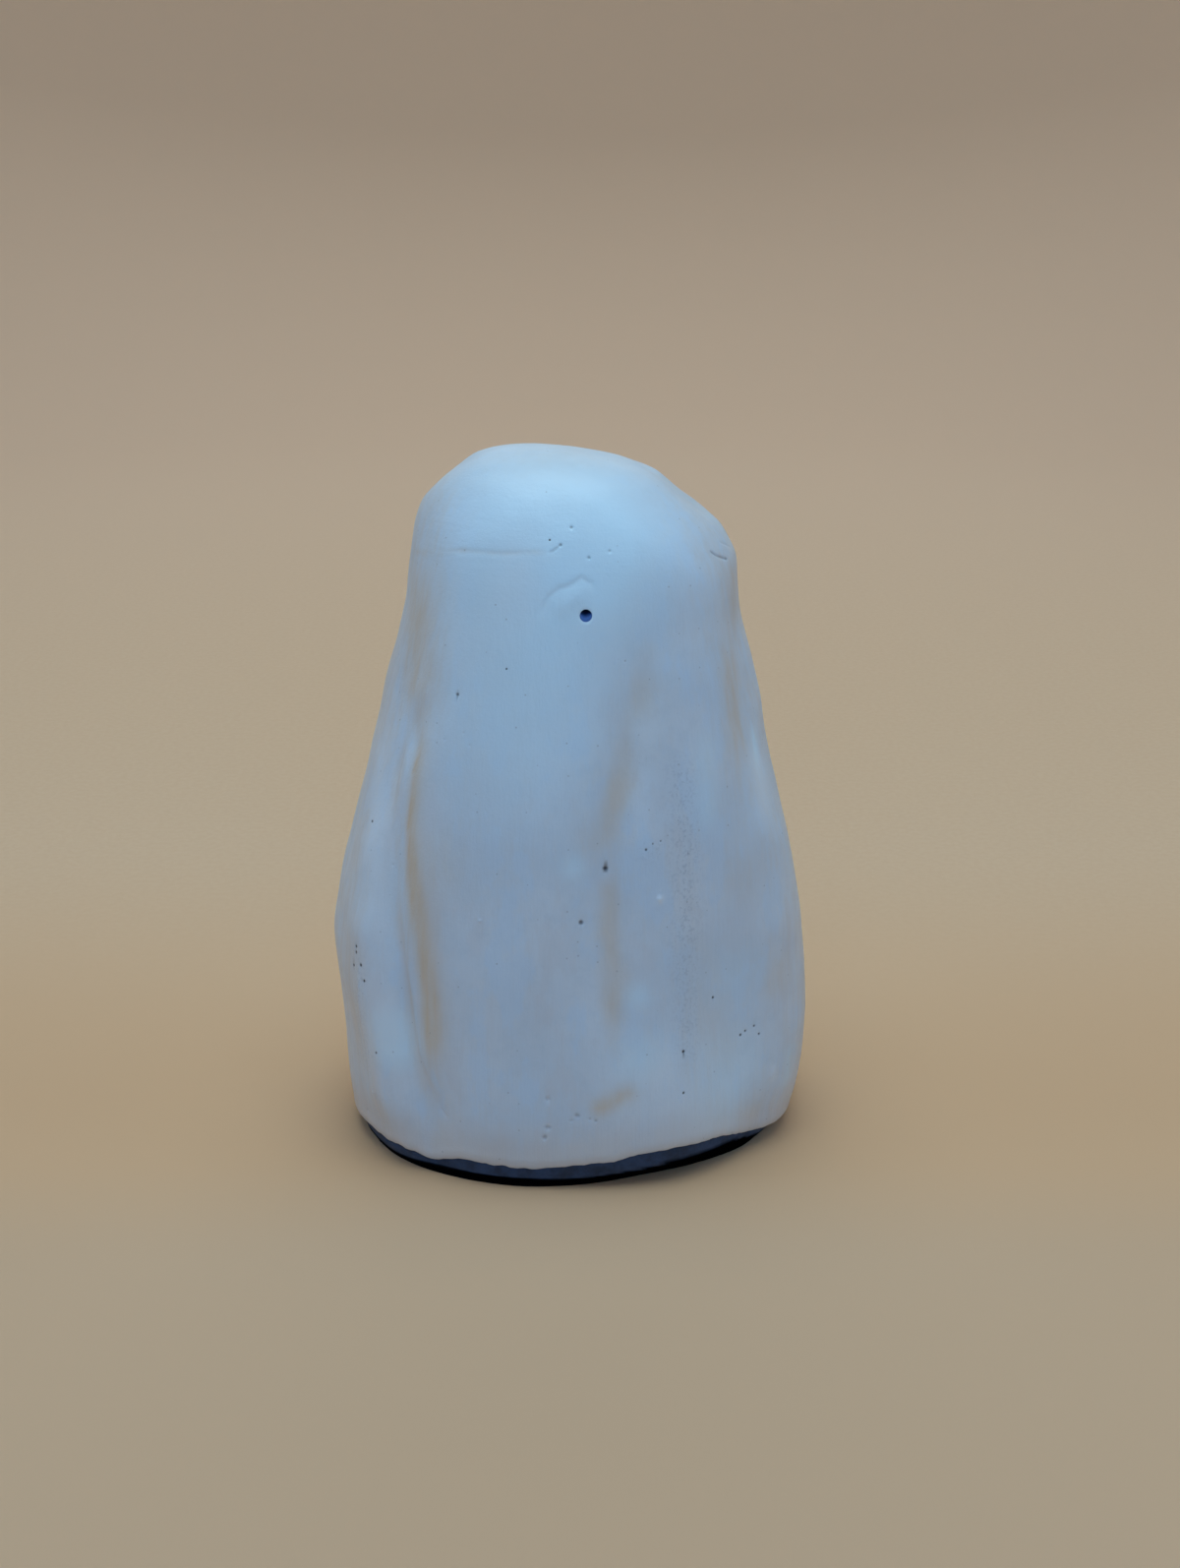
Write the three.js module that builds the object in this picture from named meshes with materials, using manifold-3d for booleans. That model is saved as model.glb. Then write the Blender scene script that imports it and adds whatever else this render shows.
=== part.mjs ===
// A hollow ghost figurine, hand built from slabs and coils of black stoneware under a matt white glaze.
// Millimetres, +Z up, standing on z = 0 with the origin under its middle. -Y is the plain back with the vent
// hole, +Y is the face, and -X is the ghost's own left. Every joint between clay pieces holds a film of slip.
import * as THREE from "three";
import { mergeVertices } from "three/addons/utils/BufferGeometryUtils.js";
import Module from "manifold-3d";

const wasm = await Module();
wasm.setup();

// The glazed outline, level by level. The sole gives the distances from the axis to the skin on its left,
// right, back and front, and each level above it gives how far it steps out from the level before it, and its
// rise over that level.
const sole = { rise: 0, left: 27.4, right: 28.4, back: 24.5, front: 23.4 };
const edge = { rise: 1.8, left: 1.5, right: 2.0, back: 1.5, front: 1.5 };
const hem = { rise: 5.6, left: 0.9, right: 1.3, back: 0.5, front: 0.6 };
const thigh = { rise: 9.6, left: 0.5, right: 0.3, back: -0.5, front: -0.2 };
const hip = { rise: 10, left: 1.0, right: -0.8, back: -0.6, front: -0.5 };
const waist = { rise: 11.5, left: -1.9, right: -1.9, back: -1.4, front: -1.4 };
const elbow = { rise: 11, left: -3.2, right: -2.6, back: -1.7, front: -1.6 };
const chest = { rise: 11, left: -2.2, right: -2.1, back: -1.9, front: -1.6 };
const neck = { rise: 10, left: -2.9, right: -2.2, back: -2.0, front: -1.8 };
const shoulder = { rise: 8.5, left: -1.4, right: -1.1, back: -1.5, front: -1.4 };
const brow = { rise: 4.5, left: -1.1, right: -4.4, back: -2.3, front: -2.2 };
const temple = { rise: 5.2, left: -4.6, right: -7.5, back: -5.2, front: -5.0 };
const crown = { rise: 2.4, aside: -4.4 }; // a point, aside from the axis
const rings = [sole, edge, hem, thigh, hip, waist, elbow, chest, neck, shoulder, brow, temple];
const squareness = 2.25; // exponent of each level's oval: 2 is an ellipse, more is fuller at the corners

// Drapes of the sheet. relief is how far one stands out, or sinks if it is negative, width is its half width,
// and foot and head are the level and the angle of its two ends, where it fades away. Angles are in degrees
// round from +X, so -90 is the middle of the back.
const folds = [
  { relief: -2.6, width: 3.2, foot: [hem, -129], head: [chest, -149], bend: 1.3, fade: 12 },
  { relief: 1.4, width: 5, foot: [edge, -141], head: [elbow, -150], bend: 1, fade: 13 },
  { relief: -2.6, width: 10, foot: [sole, -34], head: [waist, -52], bend: 1, fade: 18 },
  { relief: 1.2, width: 6, foot: [hem, -22], head: [elbow, -17], bend: 1, fade: 11 },
  { relief: -0.8, width: 3.5, foot: [elbow, -25], head: [neck, -17], bend: 1, fade: 9 },
  { relief: -0.9, width: 2.6, foot: [thigh, -77], head: [neck, -54], bend: 4, fade: 9 },
  { relief: 0.8, width: 5, foot: [hem, -64], head: [elbow, -62], bend: 1, fade: 11 },
  { relief: -2.0, width: 4, foot: [hem, 38], head: [chest, 20], bend: 1.3, fade: 12 },
  { relief: -1.8, width: 4, foot: [hem, 140], head: [chest, 158], bend: 1.4, fade: 12 },
  { relief: -1.0, width: 3.5, foot: [edge, 78], head: [hip, 84], bend: 1, fade: 10 },
  { relief: -1.0, width: 3.5, foot: [edge, 108], head: [waist, 100], bend: 1, fade: 10 },
];

const glazeThickness = 0.5;
const slipFilm = 0.3; // joint between two pieces of clay, and between clay and glaze
const wallThickness = 5.5;
const slabThickness = 5; // of the base slab
const coilRadius = 2.2; // of the coils pressed into the inside corners
const seamOffset = 6; // the wrapped wall's butt joint, right of the middle of the back
const ventDiameter = 1.5;
const ventOffset = 2.5; // right of the middle of the back
const ventBelowShoulder = 5.4;

// Bare stretches of the foot, where the glaze was wiped off before firing.
const glazeFootClearance = 0.5; // height of the glaze edge between those stretches
const bareStretches = [
  { height: 1.8, angle: -92, halfSpan: 50 },
  { height: 1.0, angle: -172, halfSpan: 12 },
  { height: 1.6, angle: 70, halfSpan: 44 },
];
const edgeWaves = { height: 0.14, count: 23 };

// The face is three dimples pressed through the glaze into the clay.
const eyeSpacing = 15;
const eyeBelowShoulder = 12;
const eyeRadius = { across: 2.6, up: 3.5 };
const mouthBelowShoulder = 23;
const mouthRadius = { across: 3.2, up: 4.4 };
const dimpleDepth = 1.8; // into the clay, under the glaze

// Rolls of clay pressed into the wall as the ghost's arms under the sheet. foot and head are as for a fold.
const rollRadius = 4.8;
const rollTipRadius = 3; // where a roll ends
const rollDepth = 2.6; // into the wall
const rolls = [
  { name: "left_arm_roll", foot: [hem, -144], head: [chest, -165] },
  { name: "right_arm_roll", foot: [hem, -25], head: [elbow, -16] },
];

const columns = 56;
const rows = 20;
const insideColumns = 32;
const insideRows = 12;
const coilSides = 6;
const coilSteps = 30;
const seamCoilSteps = 10;
const rollSides = 12;
const rollSteps = 12;
const roundSides = 20;
const backward = 0.35; // how strongly the columns crowd towards the back, whose folds are finer

const degree = Math.PI / 180;
const { sin, cos, abs, exp, min, max, PI } = Math;
const mix = (a, b, t) => a + (b - a) * t;
const clamp01 = (t) => min(1, max(0, t));
const smooth = (from, to, x) => THREE.MathUtils.smoothstep(x, from, to);
const wrapAngle = (a) => Math.atan2(sin(a), cos(a));

// Catmull-Rom through one value of the levels. Past the crown the outline comes down the other side, so that
// the dome is round at the top.
function through(values, u, past) {
  const last = values.length - 1;
  const i = min(Math.floor(u), last - 1);
  const t = u - i;
  const [b, c] = [values[i], values[i + 1]];
  const a = i > 0 ? values[i - 1] : 2 * b - c;
  const d = i + 2 <= last ? values[i + 2] : past;
  return b + 0.5 * t * (c - a + t * (2 * a - 5 * b + 4 * c - d + t * (3 * b - a - 3 * c + d)));
}

const rises = [...rings, crown].map((level) => level.rise);
const total = (values) => values.map((_, i) => values.slice(0, i + 1).reduce((sum, value) => sum + value, 0));
const reach = (side) => total(rings.map((level) => level[side]));
const heights = total(rises);
const lefts = [...reach("left"), -crown.aside];
const rights = [...reach("right"), crown.aside];
const backs = [...reach("back"), 0];
const fronts = [...reach("front"), 0];
const topLevel = rings.length;
const templeLevel = topLevel - 1;
const heightOf = (level) => heights[rings.indexOf(level)];
const shoulderHeight = heightOf(shoulder);

function sectionAt(u) {
  const left = through(lefts, u, -rights[templeLevel]);
  const right = through(rights, u, -lefts[templeLevel]);
  const back = through(backs, u, -fronts[templeLevel]);
  const front = through(fronts, u, -backs[templeLevel]);
  return {
    x: (right - left) / 2,
    y: (front - back) / 2,
    halfX: (right + left) / 2,
    halfY: (front + back) / 2,
    z: through(heights, u, heights[templeLevel]),
  };
}

// Where a rising function passes through nothing, by halving.
function rootOf(rising, low, high) {
  for (let i = 0; i < 40; i++) {
    const middle = (low + high) / 2;
    if (rising(middle) < 0) low = middle;
    else high = middle;
  }
  return (low + high) / 2;
}

const levelAt = (z) => rootOf((u) => through(heights, u, heights[templeLevel]) - z, 0, topLevel);

function reliefAt(angle, z, radius) {
  let sum = 0;
  for (const { relief, width, foot, head, bend, fade } of folds) {
    const low = heightOf(foot[0]);
    const high = heightOf(head[0]);
    const middle = mix(foot[1], head[1], clamp01((z - low) / (high - low)) ** bend) * degree;
    const aside = (wrapAngle(angle - middle) * radius) / width;
    const begun = smooth(low - fade, low + fade, z);
    const ended = smooth(high - fade, high + fade, z);
    sum += relief * exp(-aside * aside) * begun * (1 - ended);
  }
  return sum;
}

function glazedPoint(u, angle, folded) {
  const s = sectionAt(u);
  if (s.halfX < 1e-6 || s.halfY < 1e-6) return new THREE.Vector3(s.x, s.y, s.z);
  const oval = abs(cos(angle) / s.halfX) ** squareness + abs(sin(angle) / s.halfY) ** squareness;
  let radius = oval ** (-1 / squareness);
  if (folded) radius += reliefAt(angle, s.z, radius);
  return new THREE.Vector3(s.x + radius * cos(angle), s.y + radius * sin(angle), s.z);
}

// A point of the skin, sunk straight into the figure by inset.
function skin(u, angle, inset = 0, folded = true) {
  const step = 1e-3;
  if (u > topLevel - step) return glazedPoint(topLevel, 0, false).add(new THREE.Vector3(0, 0, -inset));
  const point = (level, turn) => glazedPoint(level, turn, folded);
  const up = point(u + step, angle).sub(point(max(u - step, 0), angle));
  const round = point(u, angle + step).sub(point(u, angle - step));
  const outward = round.cross(up).normalize();
  return point(u, angle).addScaledVector(outward, -inset);
}

const columnAngles = Array.from({ length: columns }, (_, i) => {
  const turn = (i / columns) * 2 * PI;
  return turn - backward * cos(turn);
});

function geometryOf(points, triangles) {
  const geometry = new THREE.BufferGeometry();
  geometry.setFromPoints(points);
  geometry.setIndex(triangles);
  return geometry;
}

// Triangles between two neighbouring loops of points, facing outwards where the second loop is above.
function band(first, second, count) {
  const triangles = [];
  for (let i = 0; i < count; i++) {
    const j = (i + 1) % count;
    triangles.push(first + i, first + j, second + j, first + i, second + j, second + i);
  }
  return triangles;
}

function fan(centre, loop, count, upward) {
  const triangles = [];
  for (let i = 0; i < count; i++) {
    const j = (i + 1) % count;
    triangles.push(...(upward ? [loop + i, loop + j, centre] : [loop + j, loop + i, centre]));
  }
  return triangles;
}

// A closed solid from loops of points, lowest first, with a point at its top and its bottom.
function stack(loops, bottom, top) {
  const count = loops[0].length;
  const points = [...loops.flat(), bottom, top];
  const triangles = [];
  for (let i = 0; i + 1 < loops.length; i++) triangles.push(...band(i * count, (i + 1) * count, count));
  triangles.push(...fan(points.length - 2, 0, count, false));
  triangles.push(...fan(points.length - 1, (loops.length - 1) * count, count, true));
  return geometryOf(points, triangles);
}

function solidOf(geometry) {
  const bare = geometry.clone();
  bare.deleteAttribute("normal");
  bare.deleteAttribute("uv");
  const merged = mergeVertices(bare, 1e-4);
  return new wasm.Manifold(
    new wasm.Mesh({
      numProp: 3,
      vertProperties: new Float32Array(merged.attributes.position.array),
      triVerts: new Uint32Array(merged.index.array),
    }),
  );
}

function meshOf(name, solid, material) {
  const { vertProperties, triVerts, numProp } = solid.getMesh();
  const geometry = new THREE.BufferGeometry();
  geometry.setAttribute("position", new THREE.BufferAttribute(Float32Array.from(vertProperties), numProp));
  geometry.setIndex(Array.from(triVerts));
  geometry.computeVertexNormals();
  const mesh = new THREE.Mesh(geometry, material);
  mesh.name = name;
  return mesh;
}

// A box between two heights, wider than the figure.
function slice(from, to) {
  const span = 4 * (sole.left + sole.right);
  return solidOf(new THREE.BoxGeometry(span, span, to - from).translate(0, 0, (from + to) / 2));
}

// Height of the wiped glaze edge all round the foot.
function glazeEdge(angle) {
  let height = glazeFootClearance;
  for (const bare of bareStretches) {
    const aside = abs(wrapAngle(angle - bare.angle * degree)) / (bare.halfSpan * degree);
    height += bare.height * (1 - smooth(0.7, 1.15, aside));
  }
  return height + edgeWaves.height * sin(edgeWaves.count * angle) * sin(3 * angle + 1);
}

// Rows are closer together where the outline turns most, at the foot and over the crown.
const crowded = (t) => t - 0.09 * sin(2 * PI * t);

// Loops from the glaze edge up to the crown. The coat and the clay share them, so their facets lie parallel.
const edgeLevels = columnAngles.map((angle) => levelAt(glazeEdge(angle)));
function shellLoops(inset) {
  return Array.from({ length: rows }, (_, i) =>
    columnAngles.map((angle, k) => skin(mix(edgeLevels[k], topLevel, crowded(i / rows)), angle, inset)),
  );
}

function glazeCoat() {
  const outside = stack(shellLoops(0), new THREE.Vector3(), skin(topLevel, 0));
  const under = shellLoops(glazeThickness);
  const below = under[0].map((p) => p.clone().setZ(-slabThickness));
  const lowest = new THREE.Vector3(0, 0, -slabThickness);
  const inside = stack([below, ...under], lowest, skin(topLevel, 0, glazeThickness));
  return solidOf(outside).subtract(solidOf(inside));
}

const clayInset = glazeThickness + slipFilm;

// The whole figure in clay, solid, before it is divided into its pieces.
function clayFigure() {
  const standing = columnAngles.map((angle) => skin(0, angle, clayInset).setZ(0));
  const loops = [standing, ...shellLoops(clayInset)];
  return solidOf(stack(loops, new THREE.Vector3(), skin(topLevel, 0, clayInset)));
}

const cavityInset = clayInset + wallThickness;
const cavityPoint = (u, angle) => skin(u, angle, cavityInset, false);

// The space inside the walls. It starts inside the base slab, so that it cuts the wall cleanly.
function cavity() {
  const angles = Array.from({ length: insideColumns }, (_, i) => (i / insideColumns) * 2 * PI);
  const floorLevel = levelAt(slabThickness + slipFilm);
  const loops = Array.from({ length: insideRows }, (_, i) =>
    angles.map((angle) => cavityPoint(mix(floorLevel, topLevel, i / insideRows), angle)),
  );
  const footing = loops[0].map((p) => p.clone().setZ(slabThickness / 2));
  const lowest = new THREE.Vector3(0, 0, slabThickness / 2);
  return solidOf(stack([footing, ...loops], lowest, skin(topLevel, 0, cavityInset)));
}

// A tube of clay along a path, round in section, with a radius that may change on the way.
function tube(path, radiusAt, sides) {
  const loops = path.map((p, i) => {
    const ahead = path[min(i + 1, path.length - 1)];
    const behind = path[max(i - 1, 0)];
    const along = ahead.clone().sub(behind).normalize();
    const first = new THREE.Vector3(0, 1, 0).cross(along).normalize();
    const second = along.clone().cross(first);
    const radius = radiusAt(i / (path.length - 1));
    return Array.from({ length: sides }, (_, k) => {
      const turn = (k / sides) * 2 * PI;
      const aside = p.clone().addScaledVector(first, radius * cos(turn));
      return aside.addScaledVector(second, radius * sin(turn));
    });
  });
  return solidOf(stack(loops, path[0].clone(), path[path.length - 1].clone()));
}

// The middle of a coil that lies against the inside of the wall.
function besideWall(u, angle) {
  const wall = cavityPoint(u, angle);
  const inward = skin(u, angle, cavityInset + 1, false).sub(wall);
  return wall.addScaledVector(inward, coilRadius + slipFilm);
}

// A coil laid in a closed ring round the inside of the wall.
function ringCoil(u) {
  const step = (2 * PI) / coilSteps;
  const loops = Array.from({ length: coilSteps }, (_, i) => {
    const p = besideWall(u, i * step);
    const along = besideWall(u, (i + 1) * step).sub(besideWall(u, (i - 1) * step)).normalize();
    const out = along.clone().cross(new THREE.Vector3(0, 0, 1)).normalize();
    const up = out.clone().cross(along);
    return Array.from({ length: coilSides }, (_, k) => {
      const turn = ((k + 0.5) / coilSides) * 2 * PI;
      const aside = p.clone().addScaledVector(out, coilRadius * cos(turn));
      return aside.addScaledVector(up, coilRadius * sin(turn));
    });
  });
  const triangles = [];
  for (let i = 0; i < coilSteps; i++) {
    triangles.push(...band(((i + 1) % coilSteps) * coilSides, i * coilSides, coilSides));
  }
  return solidOf(geometryOf(loops.flat(), triangles));
}

const footCoilHeight = slabThickness + slipFilm + coilRadius;

// The coil pressed up the inside of the wall's butt joint, between the two ring coils.
function seamCoil() {
  const from = levelAt(footCoilHeight + 2 * coilRadius + slipFilm);
  const to = levelAt(shoulderHeight - 2 * coilRadius - slipFilm);
  const path = Array.from({ length: seamCoilSteps }, (_, i) => {
    const u = mix(from, to, i / (seamCoilSteps - 1));
    return besideWall(u, rootOf((angle) => cavityPoint(u, angle).x - seamOffset, -PI, 0));
  });
  return tube(path, () => coilRadius, coilSides);
}

// One arm roll before its outer face is cut to the figure's skin, grown by grow all round.
function rollBlank({ foot, head }, grow) {
  const path = Array.from({ length: rollSteps }, (_, i) => {
    const t = i / (rollSteps - 1);
    const z = mix(heightOf(foot[0]) - grow, heightOf(head[0]) + grow, t);
    return skin(levelAt(z), mix(foot[1], head[1], t) * degree, clayInset + rollDepth - rollRadius);
  });
  return tube(path, (t) => mix(rollTipRadius, rollRadius, sin(PI * t)) + grow, rollSides);
}

// The wall's butt joint, the vent hole and the dimples of the face, as solids to cut away.
function buttJoint() {
  const depth = 2 * sole.back;
  const cut = new THREE.BoxGeometry(slipFilm, depth, shoulderHeight);
  return solidOf(cut.translate(seamOffset, -depth / 2, shoulderHeight / 2));
}

function ventHole() {
  const length = 2 * sole.back;
  const drill = new THREE.CylinderGeometry(ventDiameter / 2, ventDiameter / 2, length, roundSides);
  return solidOf(drill.translate(ventOffset, -length / 2, shoulderHeight - ventBelowShoulder));
}

function dimple(x, below, radius) {
  const z = shoulderHeight - below;
  const u = levelAt(z);
  const surface = skin(u, rootOf((angle) => x - skin(u, angle).x, 0, PI));
  const ball = new THREE.SphereGeometry(1, roundSides, roundSides / 2);
  ball.scale(radius.across, clayInset + dimpleDepth, radius.up);
  return solidOf(ball.translate(x, surface.y, z));
}

const face = [
  dimple(-eyeSpacing / 2, eyeBelowShoulder, eyeRadius),
  dimple(eyeSpacing / 2, eyeBelowShoulder, eyeRadius),
  dimple(0, mouthBelowShoulder, mouthRadius),
];

const whiteGlaze = new THREE.MeshStandardMaterial({ color: 0xd3e0ea, roughness: 0.55, metalness: 0 });
const blackClay = new THREE.MeshStandardMaterial({ color: 0x262d3a, roughness: 0.9, metalness: 0 });

const clay = clayFigure();
const hollow = cavity();
const shell = clay.subtract(hollow);
const vent = ventHole();

const overSeam = slice(shoulderHeight + slipFilm / 2, 2 * heights[topLevel]);

let wall = shell.intersect(slice(slabThickness + slipFilm, shoulderHeight - slipFilm / 2));
let coat = glazeCoat().subtract(vent);
for (const hole of face) {
  wall = wall.subtract(hole);
  coat = coat.subtract(hole);
}
const armRolls = rolls.map((roll) => {
  wall = wall.subtract(rollBlank(roll, slipFilm));
  return meshOf(roll.name, clay.intersect(rollBlank(roll, 0)), blackClay);
});
wall = wall.subtract(vent).subtract(buttJoint());

const figurine = new THREE.Group();
figurine.add(
  meshOf("glaze_coat", coat, whiteGlaze),
  meshOf("crown_cap", shell.intersect(overSeam), blackClay),
  meshOf("wall_slab", wall, blackClay),
  meshOf("base_slab", clay.intersect(slice(-slabThickness, slabThickness)), blackClay),
  meshOf("neck_coil", ringCoil(levelAt(shoulderHeight)), blackClay),
  meshOf("foot_coil", ringCoil(levelAt(footCoilHeight)), blackClay),
  meshOf("seam_coil", seamCoil(), blackClay),
  ...armRolls,
);

const outline = new THREE.Box3().setFromObject(figurine);
const middle = outline.getCenter(new THREE.Vector3());
figurine.position.set(-middle.x, -middle.y, 0);

export default figurine;
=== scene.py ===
"""A hollow ghost figurine of black stoneware under a satin white glaze, seen from its plain back.

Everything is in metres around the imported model: -Y is the plain back with the vent hole, +Y is the face,
and -X is the ghost's own left.
"""

from math import atan2, cos, degrees, pi, radians, sin, sqrt, tan

import bmesh
import bpy
import numpy as np
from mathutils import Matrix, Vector, noise
from mathutils.bvhtree import BVHTree
from mathutils.kdtree import KDTree


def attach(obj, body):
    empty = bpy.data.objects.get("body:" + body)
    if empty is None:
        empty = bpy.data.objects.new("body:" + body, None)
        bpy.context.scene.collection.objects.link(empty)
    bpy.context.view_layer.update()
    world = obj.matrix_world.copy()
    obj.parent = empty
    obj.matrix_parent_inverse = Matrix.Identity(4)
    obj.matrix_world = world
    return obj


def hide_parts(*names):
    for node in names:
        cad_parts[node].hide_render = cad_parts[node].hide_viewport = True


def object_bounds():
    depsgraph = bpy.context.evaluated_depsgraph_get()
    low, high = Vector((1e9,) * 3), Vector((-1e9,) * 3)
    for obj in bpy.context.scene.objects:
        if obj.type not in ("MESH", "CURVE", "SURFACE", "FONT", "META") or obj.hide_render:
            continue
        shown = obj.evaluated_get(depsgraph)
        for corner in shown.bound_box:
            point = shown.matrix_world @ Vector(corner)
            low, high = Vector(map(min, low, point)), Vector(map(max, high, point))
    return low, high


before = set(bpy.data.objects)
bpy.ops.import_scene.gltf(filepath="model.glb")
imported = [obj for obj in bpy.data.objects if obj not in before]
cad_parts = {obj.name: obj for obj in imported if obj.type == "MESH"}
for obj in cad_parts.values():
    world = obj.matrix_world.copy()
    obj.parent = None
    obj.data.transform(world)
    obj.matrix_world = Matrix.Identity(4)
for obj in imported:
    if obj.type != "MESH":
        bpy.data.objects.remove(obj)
cad_low, cad_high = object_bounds()

MM = 0.001

# The photograph's camera, fitted to the figurine's outline. Places marked on the photograph are pixels of
# its 1200 x 1594 picture, across and down.
PICTURE_WIDTH = 1200
PICTURE_HEIGHT = 1594
LENS = 52
SENSOR = 36
CAMERA_PITCH = radians(18)
CAMERA_DISTANCE = 300 * MM
CAMERA_AIM = Vector((2.64, 0.57, 46)) * MM
LINE_OF_SIGHT = Vector((0, cos(CAMERA_PITCH), -sin(CAMERA_PITCH)))
PICTURE_UP = Vector((0, sin(CAMERA_PITCH), cos(CAMERA_PITCH)))
CAMERA_PLACE = CAMERA_AIM - CAMERA_DISTANCE * LINE_OF_SIGHT


def make_camera():
    lens = bpy.data.cameras.new("camera")
    lens.lens = LENS
    lens.sensor_width = SENSOR
    camera = bpy.data.objects.new("camera", lens)
    camera.location = CAMERA_PLACE
    camera.rotation_euler = (pi / 2 - CAMERA_PITCH, 0, 0)
    bpy.context.scene.collection.objects.link(camera)
    bpy.context.scene.camera = camera


make_camera()

# The glaze.
GLAZE = 0.45 * MM
HAIR = 0.01 * MM  # the glaze stays this far inside the solids' box, and rays this far above the ground
WAVES = [(15, 3, 1, 0.22), (5, 7, 1, 0.06), (1.6, 9, 12, 0.035)]  # length, seed, stretch and height
PINHOLE_DEPTH = 0.55  # a pinhole's depth in radii
GRAIN_HEIGHT = 0.6  # a grain's height in radii
BARE_SPREAD = 1.2  # a pinhole's dark spot reaches this many radii
ROLL = (1.1, 0.8, 0.1)  # the thick roll over the glaze's edge: how far above it, how wide and how high
LIP = (0.5, 0.14)  # the edge's own rounding: how high it begins, and how far it turns in
RIM_ROUNDING = 0.1 * MM
RIM_ANGLE = radians(55)  # edges sharper than this are rounded

# The black clay.
CLAY_INSET = 0.55 * MM  # its surface lies this far under the glaze's
CLAY_SHOWS = 0.2 * MM  # lower than this under the glaze's edge the foot isn't tucked in
CLAY_EDGE = radians(50)  # edges sharper than this look sharp
COAT_OVER_BASE = 0.8 * MM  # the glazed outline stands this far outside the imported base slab
BASE_TOP = 5 * MM
FOOT_COLUMNS = 200
FOOT_HEIGHTS = [4.4, 3.8, 3.2, 2.6, 2.2, 1.8, 1.5, 1.3, 1.1, 0.9, 0.7, 0.55, 0.4, 0.28, 0.18, 0.1, 0.04, 0]
FOOT_TURN = 2.6 * MM  # below this the foot's wall leans in towards its edge on the ground
FOOT_CURVE = 1.5  # 1 leans straight, more bends more
FOOT_ROUGHNESS = 0.05 * MM
FOOT_RIM = 0.94  # its top and its sole have a narrow rim round a flat middle of this share
SHADOW_FADE = 0.16  # millimetres over which the painted black shadow on the foot's edge fades out
HIDDEN_LEAN = 0.9 * MM  # how far the foot leans in on the sides that the photograph doesn't show
HIDDEN_SHADOW = 0.5 * MM  # how high its painted black shadow reaches there
HIDDEN_STEP = 15  # degrees between the places where it is set there
FOOT_EASING = np.array([-6, -3, 0, 3, 6])  # degrees over which its edge is evened out

# The openings through the glaze.
VENT_RADIUS = 0.75 * MM
VENT_RIM = (0.4 * MM, 0.07 * MM)  # how wide the glaze turns in round it, and how deep
VENT_LIGHT_REACH = 4 * VENT_RADIUS  # the clay in and round the vent is painted light blue, as light falling in, this far from its middle
EYE_RADII = (2.6 * MM, 3.5 * MM)  # across and up
MOUTH_RADII = (3.2 * MM, 4.4 * MM)
FACE_RIM = (1.1 * MM, 0.3 * MM)
DIMPLE_REACH = 1.3  # a pressed dimple ends within this many of its opening's radii
DIMPLE_ROUNDS = 4

# The net that the skin is made from.
DOME_HEIGHT = 70 * MM  # the walls run up to here, and the dome closes above
HEAD_RADIUS = 18 * MM
DOME_SIDE = 14  # faces along each side of the dome's cage; the walls have four times as many columns
BACKWARD = 0.35  # how strongly the columns crowd towards the back, whose folds are finer
WALL_ROWS = 19
FOOT_ROWS = [2.6 * MM, 1.8 * MM, 0.9 * MM, 0]
LOWEST_CAST = 2.2 * MM  # lower rows are cast on the base slab
OPENING_ROUNDS = 30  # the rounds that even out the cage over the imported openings
SHOULDER_HEIGHT = 80.5 * MM  # round here the head's back is eased inwards
SHOULDER_REACH = (5, 8)  # millimetres above it and below it
SHOULDER_ROUNDS = 10
BACK_FADE = 7 * MM  # the back's easing fades in over this depth
FOLD_ROUNDS = 3
RIM_REACH = 1.6  # an opening's rim lies within this many of its radii, however ragged it is cut
RIM_EASED = 1.5  # and the net is evened out round it up to here
RIM_ROUNDS = 6
EDGE_ZONE = 8 * MM  # below this the net's rows are drawn up to the glaze's edge
FAR = 0.2
LEAST_FACING = 0.35  # a ray that meets the surface flatter than this has met an opening's edge

# Where the masks of the glaze's colours lie.
CROWN_FROM = 72 * MM  # from here up the finger strokes run round the head
CROWN_FADE = 6 * MM
# The side mask paints warm light as brownish streaks on the places that face sideways.
SIDE_FROM = 0.45  # how far a place faces sideways
SIDE_FADE = 0.35
HOLLOW_ROUNDS = 60
HOLLOW_DEPTH = 0.25 * MM  # the browner tint in a fold's hollows, painted shade, is full where it lies this far under the smoothed surface
WARM_FOOT_BAND = 7  # millimetres above the glaze's edge over which it is warmer and greyer: partly thicker glaze, partly painted warm light from the floor

# The face, on the side away from the photograph, and the vent hole.
FACE_MIDDLE = -0.36 * MM
EYE_SPACING = 15 * MM
EYE_HEIGHT = 67 * MM
MOUTH_HEIGHT = 56 * MM
VENT_ACROSS = 2.14 * MM
VENT_HEIGHT = 73.25 * MM

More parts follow.
